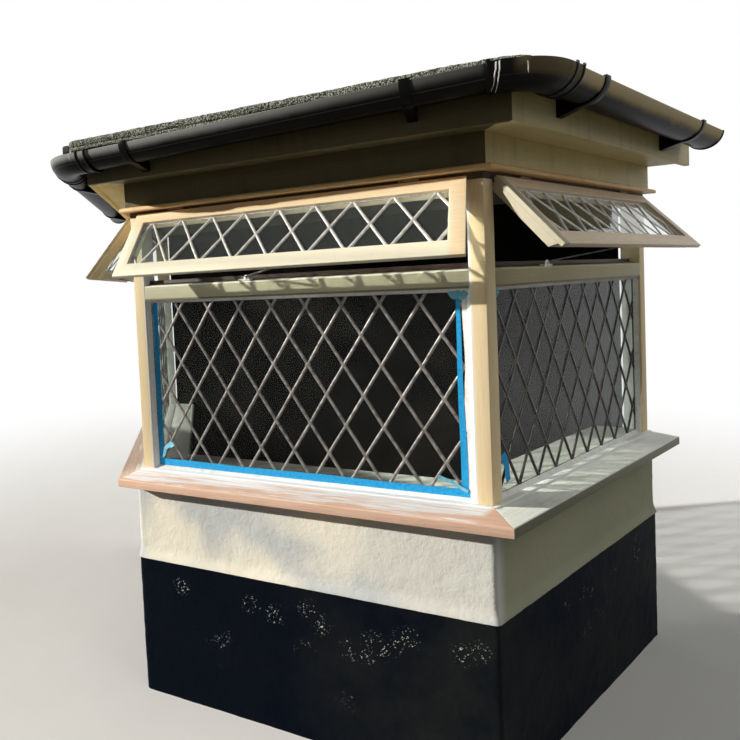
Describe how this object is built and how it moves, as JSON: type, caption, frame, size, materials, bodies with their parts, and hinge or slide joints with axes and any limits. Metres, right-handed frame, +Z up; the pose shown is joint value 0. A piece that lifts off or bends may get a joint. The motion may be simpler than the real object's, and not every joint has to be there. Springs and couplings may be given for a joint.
{
  "type": "splayed timber bay window",
  "caption": "Three-sided splayed bay window with diamond leaded lights, open top-hung fanlights, rendered dwarf wall and felted flat roof.",
  "frame": {"origin": "ground level, middle of the bay's width, halfway between the house wall plane and the front of the gutter", "axes": "+X along the front to the right seen from outside, +Y into the house, +Z up"},
  "size_m": [2.8678, 1.276, 2.113],
  "materials": {
    "black_plinth_paint": "matt bitumen paint on render",
    "cream_render": "matt painted render",
    "bare_hardwood": "bare sanded hardwood with white primer",
    "weathered_sill": "weathered grey primed timber",
    "cream_paint": "cream painted timber",
    "bare_timber": "bare planed timber",
    "eaves_paint": "old cream painted boards",
    "deck_timber": "bare boarding",
    "mineral_felt": "gritty mineral felt",
    "white_paint": "white painted boards",
    "putty": "linseed putty",
    "glass": "old clear glass",
    "lead": "dull oxidised lead",
    "black_iron": "black enamelled iron",
    "white_iron": "white painted iron",
    "hinge_steel": "painted over steel",
    "black_gutter": "black gloss plastic"
  },
  "bodies": {
    "root": {"plinth_front": "black_plinth_paint", "plinth_sides": "black_plinth_paint", "wall_front": "cream_render", "wall_sides": "cream_render", "sill_front": "bare_hardwood", "sill_sides": "weathered_sill", "corner_posts": "cream_paint", "wall_posts": "cream_paint", "transom_front": "cream_paint", "transom_sides": "cream_paint", "head_rail_front": "cream_paint", "head_rail_sides": "cream_paint", "head_mould_front": "bare_timber", "head_mould_sides": "bare_timber", "frieze_front": "eaves_paint", "frieze_sides": "eaves_paint", "soffit_front": "eaves_paint", "soffit_sides": "eaves_paint", "fascia_front": "eaves_paint", "fascia_sides": "eaves_paint", "roof_deck": "deck_timber", "roof_felt": "mineral_felt", "ceiling_lining": "white_paint", "window_board": "white_paint", "glazing_stops": "cream_paint", "putty_beads": "putty", "glass_front": "glass", "glass_sides": "glass", "leads_front": "lead", "leads_sides": "lead", "sash_front": "cream_paint", "sash_sides": "cream_paint", "fan_glass": "glass", "fan_leads": "lead", "casement_stays": "black_iron", "stay_pins": "white_iron", "sash_hinges": "hinge_steel", "gutter_front": "black_gutter", "gutter_sides": "black_gutter", "gutter_angles": "black_gutter", "gutter_brackets": "black_gutter", "gutter_stops": "black_gutter"}
  },
  "joints": []
}
